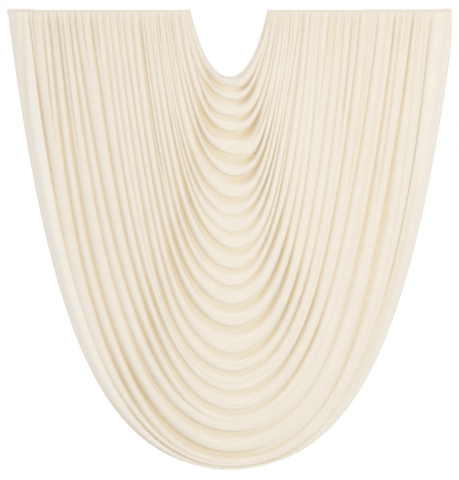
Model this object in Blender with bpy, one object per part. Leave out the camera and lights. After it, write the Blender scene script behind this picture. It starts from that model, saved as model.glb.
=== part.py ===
"""A gathered swag drape: one sheet of soft cloth hung from two straight sewn heading bands.

Between the bands the sheet falls in a deep bowl of curved folds, from the small neck at the top
to the long outer hem. Units are metres, +Z is up and the front faces -Y. The origin is the
middle of the top edge, halfway between the two bands.
"""
import bpy
import numpy as np

# ---------------------------------------------------------------- driving sizes
HALF_WIDTH = 0.750        # from the middle to the outer edge, along the top
NECK_LEFT = 0.132         # from the middle to the inner end of the left band
NECK_RIGHT = 0.128        # from the middle to the inner end of the right band
HEM_DROP = 1.550          # from the top edge down to the hem, at the middle
NECK_DROP = 0.229         # from the top edge down to the neck edge, at the middle
CLOTH_THICK = 0.002

BAND_TALL = 0.012         # height of a heading band
BAND_WALL = 0.0012        # one folded layer of the band
CLEARANCE = 0.0003        # free space between the cloth and the band sewn round it
BAND_OVERHANG = 0.001     # the band's end stands this far past the cloth

BOW_EDGE = 0.030          # how far the free edges stand forward at the middle
BOW_BELLY = 0.045         # how much further the folded belly stands forward
DEPTH_SHARE = 0.60        # depth of a full fold, as a share of its width
DEEPEST = 0.042           # no fold is deeper than this
TUCK_SHARE = 0.30         # how far a crest hangs over the valley below it, as a share of its depth
GATHER_LENGTH = 0.018     # the gathers reach their full depth over this length below the band
GATHER_FORWARD = 0.009    # the gathers stand this far in front of the band
RIGHT_EDGE = 0.750        # the right edge hangs straight down here, and turns inwards softly
EDGE_SOFT = 0.003
LOWEST_SHIFT = 0.010      # the folds' lowest points lie this far right of the middle, half way down

# Smooth lines that the cloth follows from band to band. Each hangs from the heading at its left
# and right reach from the middle, and turns more tightly at the bottom the greater its bend.
DRAPE_LINES = (
    # drop, left reach, right reach, bend
    (0.229, 0.132, 0.128, 1.80),
    (0.620, 0.209, 0.191, 2.65),
    (0.807, 0.247, 0.223, 2.80),
    (0.936, 0.290, 0.263, 2.90),
    (1.071, 0.333, 0.311, 3.00),
    (1.162, 0.358, 0.341, 3.10),
    (1.287, 0.426, 0.446, 3.25),
    (1.351, 0.466, 0.500, 3.30),
    (1.426, 0.527, 0.534, 3.40),
    (1.493, 0.588, 0.615, 3.45),
    (1.541, 0.686, 0.702, 3.50),
    (1.550, 0.750, 0.764, 3.57),
)

# Where a fold's line, opening and depth are told, as shares of the way from its lowest point to the
# band. Left is minus.
FOLD_PLACES = np.array((-0.95, -0.50, -0.20, 0.0, 0.20, 0.50, 0.95))
OPENING_PLACES = np.array((-0.50, -0.20, 0.0, 0.20, 0.50))
DEPTH_PLACES = np.array((-0.75, -0.28, 0.03, 0.20, 0.65))

# The valleys between the folds, neck first. The drop is at the middle, in metres. The openings
# are a valley's widths in millimetres at its left turn, middle and right turn. The leans say how
# many millimetres lower than a drape line of that drop it runs on its way to each band. The
# depths are shares of a full fold.
FOLDS = (
    # drop, 3 openings, 6 leans (left end, side, turn, right turn, side, end), 5 depths
    (0.268, 16, 16, 5, 33, 19, 12, 20, 29, 48, 0.30, 0.80, 0.30, 1.00, 0.15),
    (0.313, 22, 15, 8, 25, 32, 10, 18, 25, 32, 0.15, 0.60, 0.25, 0.95, 0.30),
    (0.368, 8, 17, 8, -10, -6, 17, 32, 62, 78, 0.20, 0.65, 0.25, 0.80, 0.30),
    (0.426, 30, 23, 10, 33, 24, 20, 27, 52, 72, 0.40, 0.75, 0.25, 0.90, 0.25),
    (0.508, 12, 34, 8, 39, 2, 8, 52, 60, 89, 0.15, 0.85, 0.20, 0.90, 0.20),
    (0.575, 16, 23, 14, 16, -4, -4, 36, 60, 78, 0.35, 0.75, 0.30, 0.95, 0.15),
    (0.648, 10, 19, 8, 47, 22, 10, 26, 32, 68, 0.25, 0.75, 0.35, 0.70, 0.25),
    (0.700, 8, 10, 8, 47, 20, 8, 23, 50, 86, 0.15, 0.65, 0.25, 0.90, 0.15),
    (0.759, 6, 12, 9, 30, -5, -4, 23, 34, 88, 0.15, 0.50, 0.25, 0.80, 0.30),
    (0.817, 16, 20, 5, 8, -10, -6, 30, 42, 78, 0.30, 0.95, 0.30, 0.60, 0.15),
    (0.884, 14, 16, 6, 4, -8, 5, 5, -3, 15, 0.35, 0.95, 0.30, 0.80, 0.35),
    (0.939, 10, 13, 4, 7, -6, 7, 0, 22, 26, 0.30, 0.75, 0.25, 0.85, 0.30),
    (1.007, 12, 25, 8, -7, -5, 9, 17, 27, -3, 0.35, 0.90, 0.25, 1.00, 0.15),
    (1.081, 18, 24, 14, 4, -7, 7, 21, 22, -20, 0.35, 0.90, 0.30, 0.90, 0.40),
    (1.170, 6, 21, 6, 2, -26, -5, 12, 12, 15, 0.40, 0.65, 0.30, 0.90, 0.45),
    (1.227, 12, 16, 5, -20, -26, -5, 3, 0, -8, 0.35, 0.75, 0.30, 0.80, 0.45),
    (1.263, 0, 0, 0, -10, -23, -20, 3, -3, -10, 0.50, 0.45, 0.00, 0.10, 0.15),
    (1.294, 8, 20, 2, 0, -12, -18, -5, -14, -12, 0.45, 0.90, 0.30, 0.80, 0.60),
    (1.358, 8, 20, 3, 0, -22, -29, -11, -18, -3, 0.65, 0.85, 0.35, 0.70, 0.55),
    (1.388, 0, 0, 0, 35, 5, -12, 10, 10, 30, 0.60, 0.60, 0.05, 0.05, 0.10),
    (1.432, 8, 20, 4, 14, 6, -7, 14, 10, 15, 0.60, 0.60, 0.40, 0.35, 0.55),
    (1.502, 4, 17, 4, -3, -7, -17, 9, -5, -6, 0.65, 0.90, 0.45, 0.30, 0.60),
    (1.530, 0, 0, 0, -24, -14, -11, -3, -4, -24, 0.60, 0.80, 0.20, 0.10, 0.25),
    (1.541, 0, 0, 0, -4, 0, -1, 0, 0, -11, 0.50, 0.60, 0.60, 0.30, 0.40),
)
EDGE_DEPTHS = (0.15, 0.15)   # how far the neck edge and the hem curl back, as shares of a fold
FLOOR_RISE = 0.35            # how much of its depth a valley's floor regains from edge to edge
VALLEY_RISE = (0.80, 1.30)   # length over which the cloth comes forward below a valley, as a share
VALLEY_FALL = (1.10, 0.60)   # of its depth, and over which it falls back into one: aside, and where
                             # the bellies sag at the middle
SAG_REACH = 0.07             # share of the way to the band over which the sagging fades
LONGEST_BELL = 0.28          # neither is longer than this share of the belly's width
BELLY_ROUND = 0.10           # how far a belly bulges between its valleys, as a share of its width

SMALLEST = 0.0001                      # stands for nothing where a number is divided by
ROWS_ACROSS_FOLD = (0.0, 0.36, 0.78)   # rows of points across a fold, from valley to valley
HALF_COLUMNS = 17                      # columns of points from the middle to a band
CROWDING = 1.20                        # above 1 crowds the columns towards the middle
GATHER_COLUMN = 0.975                  # one more column close to the band

SWAG_COLOR = (0.820, 0.735, 0.600, 1.0)
BAND_COLOR = (0.800, 0.715, 0.590, 1.0)


# ---------------------------------------------------------------- small helpers
def smooth_between(at, places, values):
    """Each row of values as a smooth curve over places: a cubic between each two of them, whose
    slope at a place is the mean of the slopes beside it. Held level outside the places."""
    slopes = np.gradient(values, places, axis=1)
    at = np.clip(at, places[0], places[-1])
    left = np.clip(np.searchsorted(places, at) - 1, 0, len(places) - 2)
    step = places[left + 1] - places[left]
    s = (at - places[left]) / step
    start = values[:, left] * (1 + 2 * s) * (1 - s) ** 2 + slopes[:, left] * step * s * (1 - s) ** 2
    end = values[:, left + 1] * s ** 2 * (3 - 2 * s) + slopes[:, left + 1] * step * s ** 2 * (s - 1)
    return start + end


def fabric(name, color, roughness):
    """A matte cloth material."""
    material = bpy.data.materials.new(name)
    material.use_nodes = True
    shader = material.node_tree.nodes["Principled BSDF"]
    shader.inputs["Base Color"].default_value = color
    shader.inputs["Roughness"].default_value = roughness
    shader.inputs["Metallic"].default_value = 0.0
    return material


def add_object(name, vertices, faces, material):
    """An object of the given points and faces, shaded smooth, in the scene's collection."""
    mesh = bpy.data.meshes.new(name)
    mesh.from_pydata(vertices, [], faces)
    mesh.materials.append(material)
    mesh.shade_smooth()
    piece = bpy.data.objects.new(name, mesh)
    bpy.context.scene.collection.objects.link(piece)
    return piece


# ---------------------------------------------------------------- the draped sheet
def column_shares():
    """The columns' places: 0 at the lowest point, 1 at the right band and -1 at the left one."""
    half = np.linspace(0.0, 1.0, HALF_COLUMNS) ** CROWDING
    half = np.append(half[:-1], (GATHER_COLUMN, 1.0))
    return np.concatenate((-half[:0:-1], half))


def valley_drops(shares):
    """The drop of the drape line that each valley touches, for the edges and every fold."""
    table = np.array(FOLDS)
    leans = np.insert(table[:, 4:10] / 1000, 3, 0.0, axis=1)
    inner = table[:, :1] + smooth_between(shares, FOLD_PLACES, leans)
    neck = np.full((1, len(shares)), NECK_DROP)
    hem = np.full((1, len(shares)), HEM_DROP)
    return np.concatenate((neck, inner, hem))


def depth_shares(shares):
    """How deep each valley is, as a share of a full fold, for the edges and every fold."""
    inner = smooth_between(shares, DEPTH_PLACES, np.array(FOLDS)[:, 10:15])
    neck = np.full((1, len(shares)), EDGE_DEPTHS[0])
    hem = np.full((1, len(shares)), EDGE_DEPTHS[1])
    return np.concatenate((neck, inner, hem))


def drape_points(drops, shares):
    """Places on the smooth drape lines, and the length from each to the band.

    A line of a given drop falls below its ends by sag * (cosh(bend * u) - 1) / (cosh(bend) - 1)
    less than at its lowest point, where u runs from 0 there to 1 at the band. The share of the
    way to the band is measured along the line. The right edge is held back at x by
    -soft * log(exp(-x / soft) + exp(-edge / soft))."""
    lines = np.array(DRAPE_LINES)
    reach = np.where(shares < 0, *(np.interp(drops, lines[:, 0], lines[:, k]) for k in (1, 2)))
    bend = np.interp(drops, lines[:, 0], lines[:, 3])
    down = (drops - NECK_DROP) / (HEM_DROP - NECK_DROP)
    lowest = LOWEST_SHIFT * np.sin(np.pi * down)
    side = np.where(shares < 0, -1.0, 1.0)
    span = reach - side * lowest
    sag = drops - BAND_TALL

    u = np.linspace(0.0, 1.0, 65) ** 0.7
    rise = (np.cosh(bend[..., None] * u) - 1) / (np.cosh(bend[..., None]) - 1)
    run = np.diff(span[..., None] * u, axis=-1)
    climb = np.diff(sag[..., None] * rise, axis=-1)
    length = np.concatenate((np.zeros(drops.shape + (1,)), np.cumsum(np.hypot(run, climb), axis=-1)), axis=-1)
    goal = np.abs(shares) * length[..., -1]
    after = np.clip((length < goal[..., None]).sum(axis=-1), 1, len(u) - 1)[..., None]
    before = after - 1
    low = np.take_along_axis(length, before, -1)
    high = np.take_along_axis(length, after, -1)
    part = (goal[..., None] - low) / (high - low)
    u_at = (u[before] + part * (u[after] - u[before]))[..., 0]

    rise_at = (np.cosh(bend * u_at) - 1) / (np.cosh(bend) - 1)
    x = lowest + side * span * u_at
    x = -EDGE_SOFT * np.logaddexp(-x / EDGE_SOFT, -RIGHT_EDGE / EDGE_SOFT)
    z = sag * rise_at - drops
    return x, z, length[..., -1] - goal


def across_fold(part, sag, width, open_before, open_after, depth_before, depth_after):
    """How far a point lies behind the crests, part of the way from one valley to the next.

    An opened valley has a floor, which is deepest at its upper edge where the bellies sag and
    at its lower edge aside. Below it the cloth comes forward as the bell exp(-s^2) of the
    distance, falls back as another towards the next valley, and bulges between the two as
    sin(pi * part). Also how far the point has come down the belly."""
    belly = np.clip((part - open_before) / (1 - open_before - open_after), 0, 1)
    below = np.maximum(part - open_before, 0) * width
    above = np.maximum(1 - open_after - part, 0) * width
    across_before = 0.5 + 0.5 * np.clip(part / open_before, 0, 1)
    across_after = 0.5 * np.clip((part - 1 + open_after) / open_after, 0, 1)
    floor_before = 1 - FLOOR_RISE * (sag * across_before + (1 - sag) * (1 - across_before))
    floor_after = 1 - FLOOR_RISE * (sag * across_after + (1 - sag) * (1 - across_after))
    rise_share = VALLEY_RISE[0] + (VALLEY_RISE[1] - VALLEY_RISE[0]) * sag
    fall_share = VALLEY_FALL[0] + (VALLEY_FALL[1] - VALLEY_FALL[0]) * sag
    longest = LONGEST_BELL * width * (1 - open_before - open_after)
    rise = np.exp(-(below / np.minimum(rise_share * depth_before, longest)) ** 2)
    fall = np.exp(-(above / np.minimum(fall_share * depth_after, longest)) ** 2)
    back = depth_before * floor_before * rise + depth_after * floor_after * fall
    return back - BELLY_ROUND * width * np.sin(np.pi * belly), belly


def sheet_grid():
    """The sheet's middle surface: rows of points that follow the folds from band to band."""
    shares = column_shares()
    columns = len(shares)
    valleys = valley_drops(shares)
    x, z, _ = drape_points(valleys, shares[None, :] + 0 * valleys)

    along_x = np.gradient(x, axis=1)
    along_z = np.gradient(z, axis=1)
    along = np.hypot(along_x, along_z)
    along_x, along_z = along_x / along, along_z / along
    widths = np.abs(np.diff(x, axis=0) * along_z[:-1] - np.diff(z, axis=0) * along_x[:-1])
    width_at = np.concatenate((widths[:1], (widths[:-1] + widths[1:]) / 2, widths[-1:]))
    depths = np.minimum(DEPTH_SHARE * width_at, DEEPEST) * depth_shares(shares)
    depths = np.maximum(depths, SMALLEST)

    openings = np.pad(np.array(FOLDS)[:, 1:4] / 1000, ((1, 1), (1, 1)))
    opening = np.maximum(smooth_between(shares, OPENING_PLACES, openings), 0) / 2
    gaps = np.diff(valleys, axis=0)
    open_before = (SMALLEST + opening[:-1] / gaps)[:, None]
    open_after = (SMALLEST + opening[1:] / gaps)[:, None]

    def rows_of(folds, last):
        """One row for each step across each fold, and the hem's row."""
        return np.concatenate((folds.reshape(-1, columns), last.reshape(1, columns)))

    parts = np.array(ROWS_ACROSS_FOLD)[None, :, None]
    sag = np.exp(-(shares / SAG_REACH) ** 2)
    back, belly = across_fold(parts, sag, widths[:, None], open_before, open_after,
                              depths[:-1, None], depths[1:, None])
    drops = rows_of(valleys[:-1, None] + parts * gaps[:, None], valleys[-1])
    back = rows_of(back, depths[-1])
    belly = rows_of(belly, 0 * depths[-1])
    fold_depth = rows_of(depths[:-1, None] * (1 - parts) + depths[1:, None] * parts, depths[-1])

    x, z, to_band = drape_points(drops, shares[None, :] + 0 * drops)
    down = (drops - NECK_DROP) / (HEM_DROP - NECK_DROP)
    bow = (BOW_EDGE + BOW_BELLY * np.sin(np.pi * down)) * (1 - shares ** 2)
    tuck = TUCK_SHARE * sag * fold_depth * np.sin(np.pi * belly ** 2)
    gather = 1 - np.exp(-to_band / GATHER_LENGTH)
    y = (back - GATHER_FORWARD) * gather - bow
    z = z - tuck
    return x, y, z


def swag_cloth():
    """The draped sheet, with its top edge standing straight up inside the bands."""
    x, y, z = sheet_grid()
    inside = -BAND_WALL - CLEARANCE
    x = np.concatenate((x[:, :1], x, x[:, -1:]), axis=1)
    y = np.concatenate((y[:, :1], y, y[:, -1:]), axis=1)
    z = np.pad(z, ((0, 0), (1, 1)), constant_values=inside)

    rows, columns = x.shape
    points = np.stack((x, y, z), axis=-1).reshape(-1, 3)
    index = np.arange(rows * columns).reshape(rows, columns)
    corners = (index[:-1, :-1], index[1:, :-1], index[1:, 1:], index[:-1, 1:])
    faces = np.stack(corners, axis=-1).reshape(-1, 4)
    material = fabric("swag_cloth", SWAG_COLOR, 0.85)
    piece = add_object("swag", points.tolist(), faces.tolist(), material)

    thicken = piece.modifiers.new("thickness", "SOLIDIFY")
    thicken.thickness = CLOTH_THICK
    thicken.offset = 0.0
    return piece


# ---------------------------------------------------------------- the heading bands
def heading_band(name, start, end):
    """A strip folded over the cloth's top edge: a narrow upside-down U, extruded along x."""
    inner = CLOTH_THICK / 2 + CLEARANCE
    outer = inner + BAND_WALL
    profile = (
        (-outer, 0.0), (-outer, -BAND_TALL), (-inner, -BAND_TALL), (-inner, -BAND_WALL),
        (inner, -BAND_WALL), (inner, -BAND_TALL), (outer, -BAND_TALL), (outer, 0.0),
    )
    count = len(profile)
    points = [(x, y, z) for x in (start, end) for y, z in profile]
    sides = [(k, (k + 1) % count, (k + 1) % count + count, k + count) for k in range(count)]
    caps = [(0, 1, 2, 3), (4, 5, 6, 7), (0, 3, 4, 7)]
    near = [tuple(reversed(face)) for face in caps]
    far = [tuple(k + count for k in face) for face in caps]
    piece = add_object(name, points, sides + near + far, fabric(name, BAND_COLOR, 0.85))
    piece.data.set_sharp_from_angle(angle=0.5)
    return piece


def build():
    for item in list(bpy.data.objects):
        bpy.data.objects.remove(item, do_unlink=True)
    swag_cloth()
    heading_band("heading_left", -HALF_WIDTH - BAND_OVERHANG, -NECK_LEFT + BAND_OVERHANG)
    heading_band("heading_right", NECK_RIGHT - BAND_OVERHANG, HALF_WIDTH + BAND_OVERHANG)


build()
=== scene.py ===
"""The swag drape as it looks: one gathered sheet of soft cream cloth on its two sewn headings."""
import math
import bpy
import numpy as np
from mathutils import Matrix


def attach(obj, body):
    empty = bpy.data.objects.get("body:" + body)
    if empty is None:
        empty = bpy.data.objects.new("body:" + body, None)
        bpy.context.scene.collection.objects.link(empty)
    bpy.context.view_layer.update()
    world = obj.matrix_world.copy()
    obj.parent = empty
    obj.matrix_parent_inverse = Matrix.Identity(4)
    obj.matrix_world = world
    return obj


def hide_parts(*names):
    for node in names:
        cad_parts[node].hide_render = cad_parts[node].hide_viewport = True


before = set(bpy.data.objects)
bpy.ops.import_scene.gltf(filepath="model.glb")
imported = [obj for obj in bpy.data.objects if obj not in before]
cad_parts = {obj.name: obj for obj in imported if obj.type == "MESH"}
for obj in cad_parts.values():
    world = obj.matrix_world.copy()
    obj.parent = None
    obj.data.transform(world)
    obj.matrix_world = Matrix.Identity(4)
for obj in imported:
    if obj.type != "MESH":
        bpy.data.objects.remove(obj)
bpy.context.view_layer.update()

# ---------------------------------------------------------------- sizes, in metres
HALF_WIDTH = 0.750        # from the middle to the outer edge, along the top
NECK_LEFT = 0.132         # from the middle to the inner end of the left heading
NECK_RIGHT = 0.128        # from the middle to the inner end of the right heading
HEM_DROP = 1.548          # from the top edge down to the hem, at the middle
NECK_DROP = 0.229         # from the top edge down to the neck edge, at the middle
CLOTH_THICK = 0.0009

BAND_TALL = 0.012         # height of a heading at its back
FRONT_TALL = 0.004        # and at its front, where the gathers begin right below it
BAND_THICK = 0.0008       # one folded layer of the heading
BAND_GAP = 0.0012         # from the cloth's middle to the middle of a heading's layer

BOW_EDGE = 0.030          # how far the free edges stand forward at the middle
BOW_BELLY = 0.045         # how much further the folded belly stands forward
DEPTH_SHARE = 0.47        # depth of a full fold, as a share of its width
DEEPEST = (0.031, 0.007)  # and it is no deeper than this, at the turns and on the sides
TUCK_SHARE = 0.90         # how far a crest hangs over the valley below it, as a share of its depth
TUCK_BACK = 0.4           # and how far the valley draws back under it, as a share of that
GATHER_LENGTH = 0.018     # the gathers reach their full depth over this length below the heading
GATHER_FORWARD = 0.005    # the gathers stand this far in front of the heading
FORWARD_LENGTH = 0.0006   # and come forward over this length
RIGHT_EDGE = 0.750        # the right edge hangs straight down here, and turns inwards softly
EDGE_SOFT = 0.003
LOWEST_SHIFT = 0.010      # the folds' lowest points lie this far right of the middle, half way down

# Smooth lines that the cloth follows from heading to heading. Each hangs at its left and right
# reach from the middle, and turns more tightly at the bottom the greater its bend.
DRAPE_LINES = (
    # drop, left reach, right reach, bend
    (0.229, 0.132, 0.128, 1.80),
    (0.620, 0.209, 0.191, 2.65),
    (0.807, 0.247, 0.223, 2.80),
    (0.936, 0.290, 0.263, 2.90),
    (1.071, 0.333, 0.311, 3.00),
    (1.162, 0.358, 0.341, 3.10),
    (1.287, 0.426, 0.446, 3.25),
    (1.351, 0.466, 0.500, 3.30),
    (1.426, 0.527, 0.534, 3.40),
    (1.493, 0.588, 0.615, 3.45),
    (1.541, 0.686, 0.702, 3.50),
    (1.548, 0.748, 0.764, 3.62),
)
LEFT_REACH, RIGHT_REACH, BEND = 1, 2, 3        # columns of this table

# Where a valley's line, opening and depth are told, as shares of the way from its lowest point
# to the heading. Shares below zero are on the left.
FOLD_PLACES = np.array((-0.95, -0.50, -0.20, 0.0, 0.20, 0.50, 0.95))
OPENING_PLACES = np.array((-0.50, -0.20, 0.0, 0.20, 0.50))
DEPTH_PLACES = np.array((-0.75, -0.28, 0.02, 0.17, 0.65))

# The valleys between the folds, neck first. The drop is at the middle, in metres. The openings
# are a valley's widths in millimetres at its left turn, middle and right turn. The leans say how
# many millimetres lower than a drape line of that drop it runs on its way to each heading. The
# depths are shares of a full fold.
FOLDS = (
    # drop, 3 openings, 6 leans (left end, side, turn, right turn, side, end), 5 depths
    (0.268, 16, 16, 5, 33, 19, 12, 20, 29, 48, 0.41, 1.27, 0.40, 1.15, 0.26),
    (0.313, 22, 15, 8, 25, 32, 10, 18, 25, 32, 0.33, 1.03, 0.35, 1.20, 0.86),
    (0.368, 8, 17, 8, -10, -6, 17, 32, 62, 78, 0.33, 0.91, 0.28, 0.80, 0.77),
    (0.426, 30, 23, 10, 33, 24, 20, 27, 52, 72, 0.97, 1.33, 0.30, 1.10, 0.60),
    (0.508, 12, 34, 8, 39, 2, 8, 52, 60, 89, 0.33, 1.27, 0.28, 0.90, 0.52),
    (0.575, 16, 23, 14, 16, -4, -4, 36, 60, 78, 0.73, 1.14, 0.35, 1.30, 0.34),
    (0.648, 10, 19, 8, 47, 22, 10, 26, 32, 68, 0.73, 1.03, 0.32, 0.80, 0.69),
    (0.700, 8, 10, 8, 47, 20, 8, 23, 50, 86, 0.33, 1.33, 0.22, 1.25, 0.34),
    (0.759, 6, 12, 9, 30, -5, -4, 23, 34, 88, 0.33, 0.91, 0.25, 0.95, 0.77),
    (0.817, 16, 20, 5, 8, -10, -6, 30, 42, 78, 0.82, 1.45, 0.28, 0.65, 0.43),
    (0.884, 14, 16, 6, 4, -8, 5, 5, -3, 15, 0.73, 1.33, 0.26, 1.10, 0.94),
    (0.939, 10, 13, 4, 7, -6, 7, 0, 22, 26, 0.73, 1.14, 0.26, 1.10, 0.60),
    (1.007, 12, 25, 8, -7, -5, 9, 17, 27, -3, 0.89, 1.27, 0.25, 1.00, 0.26),
    (1.081, 18, 24, 14, 4, -7, 7, 21, 22, -20, 0.82, 1.27, 0.26, 0.85, 0.60),
    (1.170, 6, 21, 6, 2, -26, -5, 12, 12, 15, 0.82, 0.79, 0.24, 0.90, 0.77),
    (1.227, 12, 16, 5, -20, -26, -5, 3, 0, -8, 0.73, 1.27, 0.28, 0.75, 0.77),
    (1.263, 0, 0, 0, -10, -23, -20, 3, -3, -10, 0.70, 0.12, 0.02, 0.15, 0.26),
    (1.294, 8, 20, 2, 0, -12, -18, -5, -14, -12, 0.78, 1.27, 0.24, 0.90, 1.11),
    (1.358, 8, 20, 3, 0, -22, -29, -11, -18, -3, 1.34, 1.27, 0.26, 0.65, 0.94),
    (1.388, 0, 0, 0, 35, 5, -12, 10, 10, 30, 1.25, 1.15, 0.02, 0.05, 0.18),
    (1.432, 8, 20, 4, 14, 6, -3, 14, 10, 15, 1.25, 0.84, 0.32, 0.20, 1.23),
    (1.502, 4, 20, 4, -11, -7, -13, 8, -7, -6, 1.54, 1.21, 0.48, 0.24, 1.60),
    (1.530, 0, 0, 0, -24, -14, -11, -3, -4, -24, 1.54, 1.25, 0.05, 0.00, 0.35),
    (1.541, 0, 5, 0, -3, 0, -3, 1, 0, -11, 1.55, 0.30, 1.60, 0.55, 0.90),
)
OPENINGS = slice(1, 4)    # columns of this table
LEANS = slice(4, 10)
DEPTHS = slice(10, 15)
NECK_DEPTHS = (0.15, 0.15, 0.15, 0.15, 0.15)   # how far the neck edge curls back
HEM_DEPTHS = (0.05, 0.30, 1.20, 0.30, 0.05)    # and the hem, at the depths' five places

# How much of its depth a valley's floor regains: towards its lower edge on the left and at the
# middle, and towards its upper edge on the right.
FLOOR_RISE = (0.20, 0.35, 0.70)

# Lengths over which the cloth comes forward below a valley and falls back into the next one, as
# multiples of its depth: on the sides, and at the middle, where the bellies sag.
VALLEY_RISE = (3.00, 1.30)
VALLEY_FALL = (3.00, 0.60)
LONGEST_SHARE = 0.24      # neither is longer than this share of the belly's width,
LONGEST_BELL = (0.030, 0.003)   # nor than this, at the middle and at the heading
LEFTWARD = (1.3, 0.8)     # both limits are times these, where the cloth faces left and faces right
BELL_POWER = (1.20, 2.00)       # how rounded the bells are, on the sides and at the middle

SAG_REACH = 0.07          # share of the way to the heading over which the sagging fades
SIDE_PLACES = (0.10, 0.40)      # the turns end and the sides begin at these shares of the way
BELLY_ROUND = 0.10        # how far a belly bulges between its valleys, as a share of its width
FLAT_SAG = 0.50           # the share of their depth that valleys lose where the bellies sag

# Fine gathers below the headings. What varies from one to the next swings as a sine of their
# count, with a share and a pace.
GATHERS_PITCH = 0.013     # from one fine gather to the next
GATHERS_DEEP = 0.0045
GATHERS_REACH = 0.090     # how far down they reach
PITCH_SWINGS = ((0.22, 2.3, 0), (0.08, 5.1, 1))   # share, pace and start of two swings
DEPTH_SWING = (0.4, 3.7)
REACH_SWING = (0.6, 1.9, 2)

# Where the cloth is painted darker or paler: painted shade and painted light for how light falls on it
# and comes through it.
SHADE_DEPTH = (0.0080, 0.0036)   # a valley takes on two thirds of its painted shade at this depth, at the turns and on the sides
                                # turns and on the sides
LIT_SHADE = 0.35           # where it faces right, the light reaches in and leaves this share of the painted shade
CREASE_SHADE = (0.28, 0.75)      # the share of a small crease's and a fine gather's depth that counts towards the painted shade
SHADE_FADE = (0.6, 0.030)  # the painted shade loses this share at the heading, regained over this length
SHEEN_REACH = 0.10       # share of the way over which the painted sheen along the ripples of the sagging bellies fades
NECK_FACING = 0.257       # the cloth is doubled above this drop
HEM_FACING = 1.544        # and below this one
HEM_DOUBLED = (0.80, 0.45)      # how much the hem facing's painted shade shows, on the left and on the right; on the left it is also painted shade where the hem curls away
OUTER_DROP = 1.539        # the cloth hangs single outside this drop, and is painted paler there as light comes through it
OUTER_SHOWN = (0.80, 0.45)      # how much so, on the left and on the right
NECK_SOFT = 0.004         # changes of drop over which the neck facing ends,
HEM_SOFT = 0.001          # the hem facing begins,
OUTER_SOFT = 0.003        # and the single cloth begins

# Small creases between the folds. Most start on the cloth and run out into a heading, and the
# widest soften the outer side of a fold. Shares below zero are on the left. A depth below zero
# is a small ridge, where the outermost fold ends below the left heading.
CREASES = (
    # drop at the start, at the end, share at the start, at the end, depth and half width in mm
    (0.236, 0.257, 0.00, 1.00, 6.0, 3.5),
    (0.498, 0.536, 0.12, 0.42, 8.5, 3.5),
    (1.138, 1.154, 0.65, 1.00, 5.1, 3.5),
    (1.171, 1.172, 0.75, 1.00, 5.1, 3.5),
    (1.258, 1.250, 0.65, 1.00, 6.0, 3.5),
    (1.329, 1.317, 0.50, 1.00, 5.1, 4.5),
    (1.332, 1.340, 0.60, 1.00, 4.2, 4.5),
    (1.422, 1.427, 0.38, 1.00, 4.2, 4.5),
    (1.468, 1.463, 0.55, 1.00, 6.8, 4.5),
    (1.534, 1.517, 0.75, 1.00, 3.5, 3.5),
    (1.546, 1.544, 0.75, 1.00, 3.0, 5.0),
    (1.449, 1.447, 0.20, 0.55, 4.0, 8.0),
    (1.509, 1.500, 0.18, 0.60, 5.5, 9.0),
    (1.5438, 1.5422, 0.18, 0.62, 5.5, 9.0),
    (0.964, 0.981, -0.38, -1.00, 10.2, 3.5),
    (0.554, 0.571, -0.62, -1.00, 5.1, 3.5),
    (1.473, 1.472, -0.65, -1.00, 7.6, 3.5),
    (1.382, 1.395, -0.80, -1.00, 6.8, 3.5),
    (1.327, 1.328, -0.80, -1.00, 6.8, 3.5),
    (1.523, 1.515, -0.70, -1.00, 8.5, 3.5),
    (1.535, 1.532, -0.86, -1.00, 6.0, 3.0),
    (1.527, 1.526, -0.90, -1.00, 5.0, 3.0),
    (1.548, 1.5428, -0.72, -1.00, 5.0, 7.0),
    (1.5385, 1.538, -0.83, -1.00, -9.0, 6.0),
    (0.635, 0.635, -0.55, -1.00, 5.1, 3.5),
    (0.422, 0.422, -0.70, -1.00, 4.2, 3.5),
    (0.796, 0.800, -0.80, -1.00, 5.1, 3.5),
    (0.855, 0.855, -0.75, -1.00, 4.2, 3.5),
    (0.910, 0.910, -0.75, -1.00, 4.2, 3.5),
    (0.598, 0.608, -0.35, -0.20, 5.1, 3.5),
)
CREASE_FADE = 0.15        # share of the way over which a crease grows to its full depth

SMALLEST = 0.0001         # stands for nothing where a number is divided by

# From one row of points to the next: at the left heading, the middle and the right heading.
ROW_PITCH = (0.0019, 0.0038, 0.0019)
FEWEST_ROWS = 8           # no fold has fewer rows than this
HALF_COLUMNS = 41         # columns of points from the middle to a heading
CROWDING = 1.15           # above 1 crowds the columns towards the middle
NEAR_BAND = (0.030, 0.018, 0.010, 0.005, 0.0018, 0.0004)   # but the last ones are this far from it
LINE_STEPS = 65           # steps along which a drape line is measured
LINE_CROWDING = 0.7       # below 1 crowds them towards the heading

# ---------------------------------------------------------------- the draped sheet
def smooth_between(at, places, values):
    """Each row of values as a smooth curve over places: a cubic between each two of them, whose
    slope at a place is the mean of the slopes beside it. Held level outside the places."""
    slopes = np.gradient(values, places, axis=1)
    at = np.clip(at, places[0], places[-1])
    left = np.clip(np.searchsorted(places, at) - 1, 0, len(places) - 2)
    step = places[left + 1] - places[left]
    s = (at - places[left]) / step
    start = values[:, left] * (1 + 2 * s) * (1 - s) ** 2 + slopes[:, left] * step * s * (1 - s) ** 2
    end = values[:, left + 1] * s ** 2 * (3 - 2 * s) + slopes[:, left + 1] * step * s ** 2 * (s - 1)
    return start + end


def smooth_step(value):
    """0 below 0, 1 above 1, and 3 v^2 - 2 v^3 between."""
    value = np.clip(value, 0, 1)
    return value * value * (3 - 2 * value)


def column_shares():
    """The columns' places: 0 at the lowest point, 1 at the right heading and -1 at the left."""
    half = np.linspace(0.0, 1.0, HALF_COLUMNS) ** CROWDING
    half = np.concatenate((half[half < 1 - NEAR_BAND[0]], 1 - np.array(NEAR_BAND), (1.0,)))
    return np.concatenate((-half[:0:-1], half))


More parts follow.
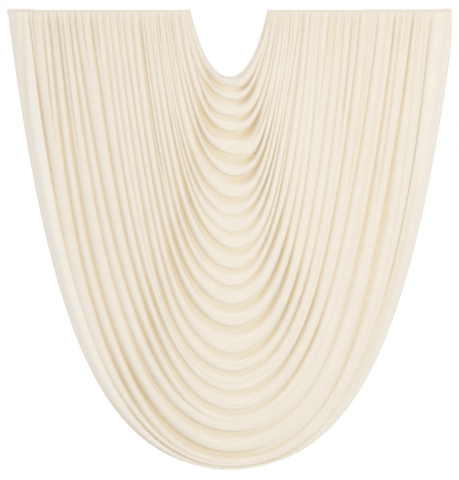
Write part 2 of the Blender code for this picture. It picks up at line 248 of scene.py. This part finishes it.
def row_places():
    """The fold that each row of points lies in, and how far across it, from 0 to 1. Rows are
    evenly spread over a fold, and about as far apart in all folds."""
    drops = valley_drops(np.array((-1.0, 0.0, 1.0)))
    x, z, _, _ = drape_points(drops, np.array(((-1.0, 0.0, 1.0),)) + 0 * drops)
    counts = np.hypot(np.diff(x, axis=0), np.diff(z, axis=0)) / np.array(ROW_PITCH)
    counts = np.maximum(np.rint(counts.max(axis=1)).astype(int), FEWEST_ROWS)
    fold = np.repeat(np.arange(len(counts)), counts)
    part = np.concatenate([np.arange(count) / count for count in counts])
    return np.append(fold, len(counts) - 1), np.append(part, 1.0)[:, None]


def valley_drops(shares):
    """The drop of the drape line that each valley touches, for the edges and every fold: its
    drop at the middle and a smooth curve through its leans."""
    table = np.array(FOLDS)
    leans = np.insert(table[:, LEANS] / 1000, 3, 0.0, axis=1)
    inner = table[:, :1] + smooth_between(shares, FOLD_PLACES, leans)
    neck = np.full((1, len(shares)), NECK_DROP)
    hem = np.full((1, len(shares)), HEM_DROP)
    return np.concatenate((neck, inner, hem))


def fold_widths(valleys, shares):
    """How wide each fold is, square to the valley above it."""
    x, z, _, _ = drape_points(valleys, shares[None, :] + 0 * valleys)
    along_x = np.gradient(x, axis=1)
    along_z = np.gradient(z, axis=1)
    area = np.abs(np.diff(x, axis=0) * along_z[:-1] - np.diff(z, axis=0) * along_x[:-1])
    return area / np.hypot(along_x, along_z)[:-1]


def valley_depths(shares, widths, side):
    """How deep each valley is, for the edges and every fold: a share of the mean width of the
    folds beside it, or the deepest, times its row of depths. side is 0 at the turns and 1 aside."""
    width_at = np.concatenate((widths[:1], (widths[:-1] + widths[1:]) / 2, widths[-1:]))
    table = np.concatenate(((NECK_DEPTHS,), np.array(FOLDS)[:, DEPTHS], (HEM_DEPTHS,)))
    deepest = DEEPEST[0] + (DEEPEST[1] - DEEPEST[0]) * side
    depths = np.minimum(DEPTH_SHARE * width_at, deepest) * smooth_between(shares, DEPTH_PLACES, table)
    return np.maximum(depths, SMALLEST)


def drape_value(drops, column):
    """A column of the drape lines' table for lines of these drops, straight between its rows."""
    lines = np.array(DRAPE_LINES)
    return np.interp(drops, lines[:, 0], lines[:, column])


def reach_at(drops, shares):
    """How far from the middle the lines of these drops hang at the heading, on the shares' side."""
    return np.where(shares < 0, drape_value(drops, LEFT_REACH), drape_value(drops, RIGHT_REACH))


def drape_points(drops, shares):
    """Places on the smooth drape lines, and the length from each to the heading.

    A line of a given drop falls below its ends by sag * (cosh(bend * u) - 1) / (cosh(bend) - 1)
    less than at its lowest point, where u runs from 0 there to 1 at the heading. The share of
    the way to the heading is measured along the line. The right edge is held back at x by
    -soft * log(exp(-x / soft) + exp(-edge / soft))."""
    reach = reach_at(drops, shares)
    bend = drape_value(drops, BEND)
    down = (drops - NECK_DROP) / (HEM_DROP - NECK_DROP)
    lowest = LOWEST_SHIFT * np.sin(np.pi * down)
    side = np.where(shares < 0, -1.0, 1.0)
    span = reach - side * lowest
    sag = drops - FRONT_TALL

    u = np.linspace(0.0, 1.0, LINE_STEPS) ** LINE_CROWDING
    rise = (np.cosh(bend[..., None] * u) - 1) / (np.cosh(bend[..., None]) - 1)
    run = np.diff(span[..., None] * u, axis=-1)
    climb = np.diff(sag[..., None] * rise, axis=-1)
    length = np.cumsum(np.hypot(run, climb), axis=-1)
    length = np.concatenate((np.zeros(drops.shape + (1,)), length), axis=-1)
    goal = np.abs(shares) * length[..., -1]
    after = np.clip((length < goal[..., None]).sum(axis=-1), 1, len(u) - 1)[..., None]
    before = after - 1
    low = np.take_along_axis(length, before, -1)
    high = np.take_along_axis(length, after, -1)
    part = (goal[..., None] - low) / (high - low)
    u_at = (u[before] + part * (u[after] - u[before]))[..., 0]

    rise_at = (np.cosh(bend * u_at) - 1) / (np.cosh(bend) - 1)
    x = lowest + side * span * u_at
    x = -EDGE_SOFT * np.logaddexp(-x / EDGE_SOFT, -RIGHT_EDGE / EDGE_SOFT)
    z = sag * rise_at - drops
    return x, z, goal, length[..., -1] - goal


def creases(drops, shares, stretch):
    """How far the small creases draw the cloth back. Each is a bell-shaped groove across its
    line, exp(-(distance / half width)^2), or a ridge where its depth is below zero. Its line's
    drop changes evenly with the share."""
    back = np.zeros_like(drops)
    for start, end, from_share, to_share, depth, half_width in CREASES:
        along = (shares - from_share) / (to_share - from_share)
        line = start + (end - start) * np.clip(along, 0, 1)
        fade = abs(CREASE_FADE / (to_share - from_share))
        ends = smooth_step(along / fade) * smooth_step((1 + fade - along) / fade)
        distance = (drops - line) * stretch
        back += depth / 1000 * ends * np.exp(-(distance / (half_width / 1000)) ** 2)
    return back


def fine_gathers(drops, shares, to_band):
    """How far the fine gathers below the headings draw the cloth back: the depth times
    cos(phase)^4 * exp(-(way below the heading / reach)^2). The phase turns by pi from one gather
    to the next, and the left ones are set off by half a turn. Their spacing, depth and reach
    swing unevenly, as sines of the turns. The outermost belly has none."""
    turn = reach_at(drops, shares) / GATHERS_PITCH + 0.5 * (shares < 0)
    uneven = sum(share * np.sin(pace * turn + begin) for share, pace, begin in PITCH_SWINGS)
    phase = np.pi * (turn + uneven)
    share, pace = DEPTH_SWING
    depth = GATHERS_DEEP * (1 - share + share * np.sin(pace * turn))
    share, pace, begin = REACH_SWING
    reach = GATHERS_REACH * (1 + share * np.sin(pace * turn + begin))
    inside = smooth_step((OUTER_DROP - drops) / OUTER_SOFT + 1)
    return depth * inside * np.cos(phase) ** 4 * np.exp(-(to_band / reach) ** 2)


def across_fold(part, sag, floor, width, opened, depth, longest, face, dim):
    """How far a point lies behind the crests, part of the way from one valley to the next.

    An opened valley has a floor, which regains the pair floor of its depth towards its lower and
    its upper edge. Below it the cloth comes forward as the bell exp(-s^power) of the distance,
    falls back as another towards the next valley, and bulges between the two as
    sin(pi * way down the belly). opened and depth are pairs, for the valley above and the one
    below. Also how far behind it is for its painted shade, when each valley's side is reckoned as
    the share dim of its depth, and how far the point has come down the belly."""
    belly_width = width * (1 - opened[0] - opened[1])
    belly = np.clip((part - opened[0]) / (1 - opened[0] - opened[1]), 0, 1)
    below = np.maximum(part - opened[0], 0) * width
    above = np.maximum(1 - opened[1] - part, 0) * width
    across_first = 0.5 + 0.5 * np.clip(part / opened[0], 0, 1)
    across_last = 0.5 * np.clip((part - 1 + opened[1]) / opened[1], 0, 1)
    down, up = floor
    floor_first = 1 - down * across_first - up * (1 - across_first)
    floor_last = 1 - down * across_last - up * (1 - across_last)
    rise_share = VALLEY_RISE[0] + (VALLEY_RISE[1] - VALLEY_RISE[0]) * sag
    fall_share = VALLEY_FALL[0] + (VALLEY_FALL[1] - VALLEY_FALL[0]) * sag
    limit = np.minimum(LONGEST_SHARE * belly_width, longest)
    rise_long = np.minimum(rise_share * depth[0], face[0] * limit)
    fall_long = np.minimum(fall_share * depth[1], face[1] * limit)
    power = BELL_POWER[0] + (BELL_POWER[1] - BELL_POWER[0]) * sag
    rise = np.exp(-(below / rise_long) ** power)
    fall = np.exp(-(above / fall_long) ** power)
    first = depth[0] * floor_first * rise
    last = depth[1] * floor_last * fall
    bulge = BELLY_ROUND * width * np.sin(np.pi * belly)
    return first + last - bulge, dim[0] * first + dim[1] * last - bulge, belly


def painted_valley_shade(hidden, crease, fine, side, to_band):
    """How much of the deep valleys' painted shade the cloth takes on: 1 - exp(-depth / shade
    depth), less near the headings. A ridge takes away from the depth that it lies on."""
    tone_depth = SHADE_DEPTH[0] + (SHADE_DEPTH[1] - SHADE_DEPTH[0]) * side
    hidden = np.maximum(hidden + np.minimum(crease, 0), 0) + CREASE_SHADE[0] * np.maximum(crease, 0)
    tone = 1 - np.exp(-(hidden + CREASE_SHADE[1] * fine) / tone_depth)
    return tone * (1 - SHADE_FADE[0] * np.exp(-to_band / SHADE_FADE[1]))


def facings(drops, shares):
    """How far the cloth is doubled, at its neck and its hem: 1 is in full."""
    hem = np.where(shares < 0, *HEM_DOUBLED) * smooth_step((drops - HEM_FACING) / HEM_SOFT)
    return smooth_step((NECK_FACING - drops) / NECK_SOFT) + hem


def sheet_grid():
    """The sheet's middle surface: rows of points that follow the folds from heading to heading.

    Seen from the front a row lies on its drape line. The folds, small creases and fine gathers
    draw it back, by 1 - exp(-way below the heading / gather length) of their depth, and less
    where the bellies sag. The whole comes forward right below the headings, and bows forward by
    (edge + belly * sin(pi * way down)) * (1 - share^2). Where the bellies sag, their crests also
    hang over the valleys below, by the folds' depth times sin(pi * way down the belly^2), less a
    share by which the valleys draw back under them.

    Gives for each point its place, the valleys' painted shade, how far the cloth is doubled or
    hangs single there, for painted shade and painted light, how close it is to the middle of the
    sagging bellies, for a painted sheen, its lengths along its row and across the cloth, and the
    drop of its row at the middle."""
    shares = column_shares()
    fold, part = row_places()
    valleys = valley_drops(shares)
    widths = fold_widths(valleys, shares)

    side = smooth_step((np.abs(shares) - SIDE_PLACES[0]) / (SIDE_PLACES[1] - SIDE_PLACES[0]))
    longest = LONGEST_BELL[0] + (LONGEST_BELL[1] - LONGEST_BELL[0]) * np.abs(shares)
    aside = np.clip(shares / SIDE_PLACES[0], -1, 1)
    face = [(sum(LEFTWARD) + way * aside * (LEFTWARD[0] - LEFTWARD[1])) / 2 for way in (1, -1)]
    # painted shade: a valley's side that faces right, towards the light, keeps less of it
    dim = [1 - (1 - LIT_SHADE) * np.maximum(-way * aside, 0) for way in (1, -1)]
    depths = valley_depths(shares, widths, side)
    openings = np.pad(np.array(FOLDS)[:, OPENINGS] / 1000, ((1, 1), (1, 1)))
    opening = np.maximum(smooth_between(shares, OPENING_PLACES, openings), 0) / 2
    gaps = np.diff(valleys, axis=0)[fold]
    opened = [SMALLEST + opening[fold + k] / gaps for k in (0, 1)]
    depth = [depths[fold + k] for k in (0, 1)]
    sag = np.exp(-(shares / SAG_REACH) ** 2)
    left = (shares < 0) * (1 - sag)
    floor = (FLOOR_RISE[0] * left + FLOOR_RISE[1] * sag, FLOOR_RISE[2] * (1 - sag - left))
    back, hidden, belly = across_fold(part, sag, floor, widths[fold], opened, depth, longest, face, dim)

    drops = valleys[fold] + part * gaps
    x, z, from_lowest, to_band = drape_points(drops, shares[None, :] + 0 * drops)
    crease = creases(drops, shares[None, :], widths[fold] / gaps)
    fine = fine_gathers(drops, shares[None, :], to_band)
    back = back + crease + fine
    gather = 1 - np.exp(-to_band / GATHER_LENGTH)
    down = (drops - NECK_DROP) / (HEM_DROP - NECK_DROP)
    bow = (BOW_EDGE + BOW_BELLY * np.sin(np.pi * down)) * (1 - shares ** 2)
    forward = GATHER_FORWARD * (1 - np.exp(-to_band / FORWARD_LENGTH))
    slope_x = np.gradient(x, axis=1)
    slope_z = np.gradient(z, axis=1)
    slope = np.hypot(slope_x, slope_z)
    fold_depth = depth[0] * (1 - part) + depth[1] * part
    tuck = TUCK_SHARE * sag * fold_depth * (np.sin(np.pi * belly ** 2) - TUCK_BACK)
    places = np.stack((x + tuck * slope_z / slope,
                       back * gather * (1 - FLAT_SAG * sag) - bow - forward,
                       z - tuck * slope_x / slope), axis=-1)

    outside = smooth_step((drops - OUTER_DROP) / OUTER_SOFT)
    steps = np.linalg.norm(np.diff(places, axis=0), axis=-1)
    middle = np.argmin(np.abs(shares))
    return {
        "places": places,
        # painted shade deep in the valleys
        "valley": painted_valley_shade(hidden, crease, fine, side, to_band),
        "doubled": facings(drops, shares),
        # painted light where the cloth hangs single
        "outer": np.where(shares < 0, *OUTER_SHOWN) * (1 - sag) * outside,
        # where the painted sheen of the sagging bellies lies
        "middle": np.exp(-(shares / SHEEN_REACH) ** 2) + 0 * drops,
        "along": np.sign(shares) * from_lowest,
        "across": np.concatenate((np.zeros((1, len(shares))), np.cumsum(steps, axis=0))),
        "folds": drops[:, middle:middle + 1] + 0 * drops,
    }


# ---------------------------------------------------------------- meshes
LOOKS = ("valley", "doubled", "folds", "middle", "outer")


def grid_mesh(name, places, along, across, looks):
    """A mesh of a grid of points. Its UV map holds the lengths along and across it in metres, and
    its points hold the looks, which are numbers for its material to read."""
    rows, columns = places.shape[:2]
    index = np.arange(rows * columns).reshape(rows, columns)
    corners = (index[:-1, :-1], index[1:, :-1], index[1:, 1:], index[:-1, 1:])
    faces = np.stack(corners, axis=-1).reshape(-1, 4)
    mesh = bpy.data.meshes.new(name)
    mesh.from_pydata(places.reshape(-1, 3).tolist(), [], faces.tolist())
    mesh.shade_smooth()
    flat = np.stack((along, across), axis=-1).reshape(-1, 2)
    mesh.uv_layers.new(name="cloth").data.foreach_set("uv", flat[faces.reshape(-1)].reshape(-1))
    for look in LOOKS:
        mesh.attributes.new(look, "FLOAT", "POINT").data.foreach_set("value", looks[look].reshape(-1))
    return mesh


def show(mesh, material, thick=None):
    """An object of the mesh, made this thick where it is a sheet."""
    piece = bpy.data.objects.new(mesh.name, mesh)
    bpy.context.scene.collection.objects.link(piece)
    mesh.materials.append(material)
    if thick:
        layer = piece.modifiers.new("thickness", "SOLIDIFY")
        layer.thickness = thick
        layer.offset = 0.0
    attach(piece, "root")
    return piece


def swag_cloth(cloth, material):
    """The draped sheet, with its top edge standing straight up inside the headings."""
    ends = ((0, 0), (1, 1))
    places = np.concatenate((cloth["places"][:, :1], cloth["places"], cloth["places"][:, -1:]), axis=1)
    places[:, (0, -1), 2] = -BAND_GAP
    value = {key: np.pad(cloth[key], ends, mode="edge") for key in cloth if key != "places"}
    value["along"][:, 0] -= BAND_TALL
    value["along"][:, -1] += BAND_TALL
    mesh = grid_mesh("swag_sheet", places, value["along"], value["across"], value)
    return show(mesh, material, CLOTH_THICK)


# ---------------------------------------------------------------- the headings
PUCKER_HIGH = 0.0012         # how far a heading's front bulges between two gathers, at its foot
PUCKER_WIDE = 0.0024         # half width of the dip over a gather
PUCKER_TOP = 0.001           # the puckers fade out this far below the top
COLUMN_PITCH = 0.0012        # from one column of a heading's points to the next
TABS = (                     # where a heading stands up a little: from, to and how far
    (-0.752, -0.660, 0.0040),
    (0.455, 0.756, 0.0023),
    (0.722, 0.742, 0.0030),
)
TAB_SLOPE = 0.002            # length over which it rises
SEWN_ROW = 1                 # the row of points of its front that is sewn, counted from its foot
FRONT_ROWS = 4               # rows of points up its front, over its top and down its back
TOP_ROWS = 9
BACK_ROWS = 7
FULL_DIP = 0.3               # a gather of this share of a full fold's depth dips the front in full,
DIP_RANGE = (0.5, 1.5)       # and a dip's strength lies between these
PUCKER_SHADE = 0.45           # how dark the painted shade in a dip is
BAND_DOUBLED = (0.8, 0.2)    # how doubled a heading looks, at its top and at its front's foot
BAND_STREAKS = 0.3           # its streaks run down it, this many times as close as on the sheet


def heading_outline():
    """A heading's section: up its front, over its rounded top and down its back, as y and z."""
    turn = np.linspace(-np.pi / 2, np.pi / 2, TOP_ROWS)
    front = np.linspace(-FRONT_TALL, -2 * BAND_GAP, FRONT_ROWS)
    back = np.linspace(-2 * BAND_GAP, -BAND_TALL, BACK_ROWS)
    y = np.concatenate((-BAND_GAP + 0 * front, BAND_GAP * np.sin(turn), BAND_GAP + 0 * back))
    top = BAND_GAP + BAND_THICK / 2
    z = np.concatenate((front, BAND_GAP * np.cos(turn) - top, back))
    return y, z


def heading_strip(name, start, end, gathers, depths, material):
    """A strip folded over the cloth's top edge, and the line along its front where it is sewn on.

    Its front bulges forward between the gathers, most at its foot, and over each gather it dips
    back as exp(-(distance / half width)^2), with painted shade in the dip. Its top stands up a
    little in places."""
    y, z = heading_outline()
    count = int((end - start) / COLUMN_PITCH)
    x = np.linspace(start, end, count)
    spread = np.exp(-((x[:, None] - gathers[None, :]) / PUCKER_WIDE) ** 2)
    dip = np.clip((spread * np.clip(depths / FULL_DIP, *DIP_RANGE)).sum(axis=1), 0, 1)
    front = smooth_step((-z - PUCKER_TOP) / (FRONT_TALL - PUCKER_TOP)) * (y < 0)
    rise = sum(high * smooth_step((x - left) / TAB_SLOPE + 1) * smooth_step((right - x) / TAB_SLOPE + 1)
               for left, right, high in TABS)
    px = x[None, :] + 0 * y[:, None]
    py = y[:, None] - PUCKER_HIGH * front[:, None] * (1 - dip[None, :])
    pz = z[:, None] + rise[None, :] * np.maximum(1 + z[:, None] / FRONT_TALL, 0)
    around = np.concatenate(((0.0,), np.cumsum(np.hypot(np.diff(y), np.diff(z)))))
    top, foot = BAND_DOUBLED
    looks = {
        # painted shade in the dips over the gathers
        "valley": PUCKER_SHADE * front[:, None] * dip[None, :],
        "doubled": top - (top - foot) * front[:, None] * np.ones_like(px),
        "folds": BAND_STREAKS * px,
        "middle": 0 * px,
        "outer": 0 * px,
    }
    places = np.stack((px, py, pz), axis=-1)
    mesh = grid_mesh(name, places, px, around[:, None] + 0 * px, looks)
    line = np.stack((px, py - BAND_THICK / 2, pz), axis=-1)[SEWN_ROW]
    return show(mesh, material, BAND_THICK), line


# ---------------------------------------------------------------- sewing
STITCH_LONG = 0.0023         # length of a stitch on the cloth
STITCH_GAP = 0.0009          # from one stitch to the next
THREAD_RADIUS = 0.00022
STITCH_ROUND = 6             # points round a stitch
STITCH_PARTS = np.linspace(0.04, 0.96, 5)    # where along it they stand
NECK_SEWN = 0.235            # the neck edge and the hem are sewn along these drops
HEM_SEWN = 1.5445


def stitches(name, line, out, material):
    """A row of stitches along a line of points, each a short thread lying on the cloth. A thread
    is a tube whose radius follows the square root of sin(pi * part), from end to end. out is the
    direction away from the cloth at each point."""
    length = np.concatenate(((0.0,), np.cumsum(np.linalg.norm(np.diff(line, axis=0), axis=1))))
    pitch = STITCH_LONG + STITCH_GAP
    starts = np.arange(int(length[-1] / pitch)) * pitch
    at = starts[:, None] + STITCH_PARTS * STITCH_LONG
    centre = np.stack([np.interp(at, length, line[:, k]) for k in range(3)], axis=-1)
    away = np.stack([np.interp(at, length, out[:, k]) for k in range(3)], axis=-1)
    away /= np.linalg.norm(away, axis=-1, keepdims=True)
    way = np.gradient(centre, axis=1)
    way /= np.linalg.norm(way, axis=-1, keepdims=True)
    aside = np.cross(way, away)
    radius = THREAD_RADIUS * np.sqrt(np.sin(np.pi * STITCH_PARTS))[None, :, None, None]
    turn = np.linspace(0, 2 * np.pi, STITCH_ROUND, endpoint=False)[None, None, :, None]
    outwards = np.cos(turn) * away[:, :, None] + np.sin(turn) * aside[:, :, None]
    ring = centre[:, :, None] + radius * outwards

    index = np.arange(ring[..., 0].size).reshape(ring.shape[:3])
    beside = np.roll(index, -1, axis=2)
    walls = np.stack((index[:, :-1], index[:, 1:], beside[:, 1:], beside[:, :-1]), axis=-1)
    first = index[:, 0, :]
    last = index[:, -1, ::-1]
    faces = walls.reshape(-1, 4).tolist() + first.tolist() + last.tolist()
    mesh = bpy.data.meshes.new(name)
    mesh.from_pydata(ring.reshape(-1, 3).tolist(), [], faces)
    mesh.shade_smooth()
    piece = show(mesh, material)
    return piece


def sewn_line(cloth, drop):
    """A line of points on the front of the sheet, along its row of that drop, and the way out."""
    places = cloth["places"]
    row = np.argmin(np.abs(cloth["folds"][:, 0] - drop))
    along = np.gradient(places[row], axis=0)
    across = places[row + 1] - places[row - 1]
    out = np.cross(along, across)
    out /= np.linalg.norm(out, axis=1, keepdims=True)
    out = np.where(out[:, 1:2] > 0, -out, out)
    return places[row] + CLOTH_THICK / 2 * out, out


# ---------------------------------------------------------------- materials
class Value:
    """A number or colour in a material. Numbers may be worked with as in plain arithmetic."""

    def __init__(self, shade, socket):
        self.shade = shade
        self.socket = socket

    def maths(self, operation, *values):
        """A Math node of that operation on the values."""
        return self.shade.node("ShaderNodeMath", {"operation": operation}, dict(enumerate(values)))

    def __add__(self, other):
        return self.maths("ADD", self, other)

    def __sub__(self, other):
        return self.maths("SUBTRACT", self, other)

    def __rsub__(self, other):
        return self.maths("SUBTRACT", other, self)

    def __mul__(self, other):
        return self.maths("MULTIPLY", self, other)

    __radd__ = __add__
    __rmul__ = __mul__

    def sine(self):
        return self.maths("SINE", self)


class Shade:
    """A material and the nodes that make it."""

    def __init__(self, name):
        self.material = bpy.data.materials.new(name)
        self.material.use_nodes = True
        self.tree = self.material.node_tree
        self.surface = self.tree.nodes["Principled BSDF"]

    def link(self, value, socket):
        """Feed a socket from a node's output, or set it to a plain number or colour."""
        if isinstance(value, Value):
            self.tree.links.new(value.socket, socket)
        else:
            socket.default_value = value

    def node(self, kind, settings, inputs, output=0):
        """A node of that kind with its settings and inputs, and one of its outputs."""
        node = self.tree.nodes.new(kind)
        for key, value in settings.items():
            setattr(node, key, value)
        for key, value in inputs.items():
            self.link(value, node.inputs[key])
        return Value(self, node.outputs[output])

    def mixed(self, factor, first, second, blend="MIX"):
        """Two colours, mixed by the factor."""
        settings = {"data_type": "RGBA", "blend_type": blend}
        return self.node("ShaderNodeMix", settings, {0: factor, 6: first, 7: second}, 2)

    def painted(self, name):
        """A number that the piece holds on its points."""
        return self.node("ShaderNodeAttribute", {"attribute_name": name}, {}, "Fac")

    def noise(self, along, across, stretch, detail):
        """Noise with stretch[0] and stretch[1] waves a metre along and across, from 0 to 1."""
        place = self.node("ShaderNodeCombineXYZ", {}, {0: along * stretch[0], 1: across * stretch[1]})
        return self.node("ShaderNodeTexNoise", {}, {"Vector": place, "Scale": 1.0, "Detail": detail})

    def finish(self, **inputs):
        """Feed the surface's sockets, whose names' spaces are written as underscores."""
        for key, value in inputs.items():
            self.link(value, self.surface.inputs[key.replace("_", " ")])
        return self.material


CREST = (0.925, 0.882, 0.804, 1.0)      # the cloth where light reaches it freely
SINGLE_CLOTH_LIGHT = (0.950, 0.928, 0.885, 1.0)      # painted light: paler where the cloth hangs single, with no other fold behind it, and light comes through
PAINTED_SHEEN = (0.990, 0.940, 0.860, 1.0)      # painted highlight: a sheen along the ripples of the sagging bellies
DOUBLED = (0.872, 0.840, 0.792, 1.0)    # where it is doubled, and less light comes through
RECESS_SHADE = (0.875, 0.760, 0.555, 1.0)     # painted shade deep between two folds, warm as light bounced between them
STREAK = (0.940, 0.915, 0.870, 1.0)     # what the streaks and the thicker yarns take away
THREAD_PALE = (0.87, 0.81, 0.71, 1.0)   # the sewing thread
THREAD_DARK = (0.78, 0.71, 0.60, 1.0)

# Waves a metre along and across the folds, and how much finer detail they have.
BROAD_STREAKS = ((2.5, 110.0), 3.0)
FINE_STREAKS = ((9.0, 420.0), 2.0)
CLOUDS = ((9.0, 9.0), 2.0)              # faint clouds over the cloth
WARP_YARNS = ((12.0, 1300.0), 1.0)      # yarns of uneven thickness, along the folds
WEFT_YARNS = ((1300.0, 12.0), 1.0)      # and across them
# where the painted sheen lies, along the ripples of the sagging bellies
SHEEN_RIPPLES = ((7.0, 110.0), 1.0)

UNEVEN_SHARES = (0.45, 0.25, 0.30)      # of the broad streaks, the fine ones and the clouds
YARN_SHARE = 0.35
SHEEN_GAIN = 4.0                       # how fast the ripples' painted sheen grows above their mean, which is this
SHEEN_MEAN = 0.50                      # which is this
STREAK_HIGH = 0.0006                    # height of the streaks
STREAK_SHARES = (0.7, 0.3)              # of the broad and the fine ones in it
THREAD_PITCH = 0.0006                   # from one thread of the weave to the next
WEAVE_HIGH = 0.00010
WEAVE_STRENGTH = 0.6
ROUGHNESS = (0.82, 0.1)                 # at the least, and what the clouds add
TWIST_SCALE = 900.0                     # of the sewing thread
TWIST_HIGH = 0.0001


def cloth_shade(name):
    """Soft matte cloth of a plain weave, with slightly uneven yarns, fine streaks that run along
    the folds, warm painted shade deep in the valleys, a painted sheen along the sagging bellies,
    painted light where it hangs single and painted shade where it is doubled.

    Height of the weave: sin(pi * along / pitch) * sin(pi * across / pitch)."""
    shade = Shade(name)
    uv = shade.node("ShaderNodeUVMap", {"uv_map": "cloth"}, {})
    along = shade.node("ShaderNodeSeparateXYZ", {}, {0: uv}, 0)
    across = shade.node("ShaderNodeSeparateXYZ", {}, {0: uv}, 1)
    folds = shade.painted("folds")

    broad = shade.noise(along, folds, *BROAD_STREAKS)
    fine = shade.noise(along, folds, *FINE_STREAKS)
    cloud = shade.noise(along, across, *CLOUDS)
    warp = shade.noise(along, across, *WARP_YARNS)
    weft = shade.noise(along, across, *WEFT_YARNS)

    # painted light where the cloth hangs single, then painted shade where it is doubled and less light
    # comes through
    color = shade.mixed(shade.painted("outer"), CREST, SINGLE_CLOTH_LIGHT)
    color = shade.mixed(shade.painted("doubled"), color, DOUBLED)
    # painted highlight: a sheen along the ripples in the middle of the sagging bellies
    ripples = shade.noise(along, folds, *SHEEN_RIPPLES)
    sheen = SHEEN_GAIN * (ripples - SHEEN_MEAN) * shade.painted("middle")
    color = shade.mixed(sheen, color, PAINTED_SHEEN)
    # painted shade deep in the valleys and in the headings' dips, warm as light bounced between the
    # folds
    color = shade.mixed(shade.painted("valley"), color, RECESS_SHADE)
    uneven = UNEVEN_SHARES[0] * broad + UNEVEN_SHARES[1] * fine + UNEVEN_SHARES[2] * cloud
    color = shade.mixed(uneven, color, STREAK, "MULTIPLY")
    yarns = YARN_SHARE * (warp + weft)
    color = shade.mixed(yarns, color, STREAK, "MULTIPLY")

    turn = math.pi / THREAD_PITCH
    weave = (along * turn).sine() * (across * turn).sine()
    streaks = STREAK_SHARES[0] * broad + STREAK_SHARES[1] * fine
    waves = shade.node("ShaderNodeBump", {}, {"Height": streaks, "Distance": STREAK_HIGH})
    threads = {"Height": weave + yarns, "Distance": WEAVE_HIGH, "Strength": WEAVE_STRENGTH,
               "Normal": waves}
    woven = shade.node("ShaderNodeBump", {}, threads)
    return shade.finish(Base_Color=color, Roughness=ROUGHNESS[0] + ROUGHNESS[1] * cloud,
                        Normal=woven, Specular_IOR_Level=0.2, Sheen_Weight=0.15,
                        Sheen_Roughness=0.5)


def thread_shade():
    """Matte sewing thread, a little darker than the cloth, with a fine uneven twist."""
    shade = Shade("sewing_thread")
    place = shade.node("ShaderNodeTexCoord", {}, {}, "Object")
    noise = {"Vector": place, "Scale": TWIST_SCALE, "Detail": 2.0}
    spots = shade.node("ShaderNodeTexNoise", {}, noise)
    color = shade.mixed(spots, THREAD_PALE, THREAD_DARK)
    twist = shade.node("ShaderNodeBump", {}, {"Height": spots, "Distance": TWIST_HIGH})
    return shade.finish(Base_Color=color, Roughness=0.7, Normal=twist, Specular_IOR_Level=0.3)


# ---------------------------------------------------------------- floor, light and camera
FLOOR_SIZE = 5               # metres across
FLOOR_HEIGHT = -1.9
FLOOR_COLOR = (0.9, 0.9, 0.9, 1.0)
SKY = 0.80                   # strength of the light from all around
KEY = 33                     # power in watts of the broad lamp in front
KEY_SIZE = 1.4
KEY_PLACE = (1.0, -3.8, -0.1)
KEY_TURN = (80, 0, 15)       # degrees
CAMERA_AWAY = 8.0            # the camera's distance in front of the headings
CAMERA_REACH = 100           # it sees as far as this
FILM_TALL = 24.0             # height of its film, in millimetres
PICTURE_TALL = 1.6214        # height of what the camera sees, in the plane of the headings
PICTURE_MIDDLE = -0.777      # height of the picture's middle


def studio():
    """A pale floor, even light from all around with a broad lamp in front, and the camera."""
    scene = bpy.context.scene
    scene.view_settings.view_transform = "Standard"
    bpy.ops.mesh.primitive_plane_add(size=FLOOR_SIZE, location=(0, 0, FLOOR_HEIGHT))
    floor = bpy.context.object
    floor.name = "floor"
    paint = Shade("floor_paint")
    floor.data.materials.append(paint.finish(Base_Color=FLOOR_COLOR, Roughness=0.9))

    world = bpy.data.worlds.new("studio")
    world.use_nodes = True
    tree = world.node_tree
    tree.nodes["Background"].inputs["Color"].default_value = (1, 1, 1, 1)
    path = tree.nodes.new("ShaderNodeLightPath")
    level = tree.nodes.new("ShaderNodeMapRange")
    level.inputs["To Min"].default_value = SKY
    level.inputs["To Max"].default_value = 1.0
    tree.links.new(path.outputs["Is Camera Ray"], level.inputs["Value"])
    tree.links.new(level.outputs["Result"], tree.nodes["Background"].inputs["Strength"])
    scene.world = world

    light = bpy.data.lights.new("key", "AREA")
    light.size = KEY_SIZE
    light.energy = KEY
    key = bpy.data.objects.new("key", light)
    key.location = KEY_PLACE
    key.rotation_euler = [math.radians(turn) for turn in KEY_TURN]
    scene.collection.objects.link(key)

    camera = bpy.data.cameras.new("camera")
    camera.sensor_fit = "VERTICAL"
    camera.sensor_height = FILM_TALL
    camera.lens = FILM_TALL * CAMERA_AWAY / PICTURE_TALL
    camera.clip_end = CAMERA_REACH
    eye = bpy.data.objects.new("camera", camera)
    eye.location = (0, -CAMERA_AWAY, PICTURE_MIDDLE)
    eye.rotation_euler = (math.pi / 2, 0, 0)
    scene.collection.objects.link(eye)
    scene.camera = eye


# ---------------------------------------------------------------- the whole drape
def build():
    """The draped sheet, its two headings and their sewing, each in the place of its solid."""
    cloth = sheet_grid()
    swag_shade = cloth_shade("swag_cloth")
    heading_shade = cloth_shade("heading_cloth")
    thread = thread_shade()

    sheet = swag_cloth(cloth, swag_shade)
    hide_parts("swag")

    ends = valley_drops(np.array((-1.0, 1.0)))[1:-1]
    left_gathers = -drape_value(ends[:, 0], LEFT_REACH)
    right_gathers = drape_value(ends[:, 1], RIGHT_REACH)
    depths = np.array(FOLDS)[:, DEPTHS]
    sides = (
        ("left", -HALF_WIDTH, -NECK_LEFT, left_gathers, depths[:, 0]),
        ("right", NECK_RIGHT, HALF_WIDTH, right_gathers, depths[:, -1]),
    )
    for side, start, end, gathers, deep in sides:
        name = "heading_" + side
        strip, line = heading_strip(name + "_strip", start, end, gathers, deep, heading_shade)
        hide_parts(name)
        out = np.array((0.0, -1.0, 0.0)) + 0 * line
        sewing = stitches(name + "_stitching", line, out, thread)

    sewing = [stitches("neck_stitching", *sewn_line(cloth, NECK_SEWN), thread),
              stitches("hem_stitching", *sewn_line(cloth, HEM_SEWN), thread)]


build()
studio()
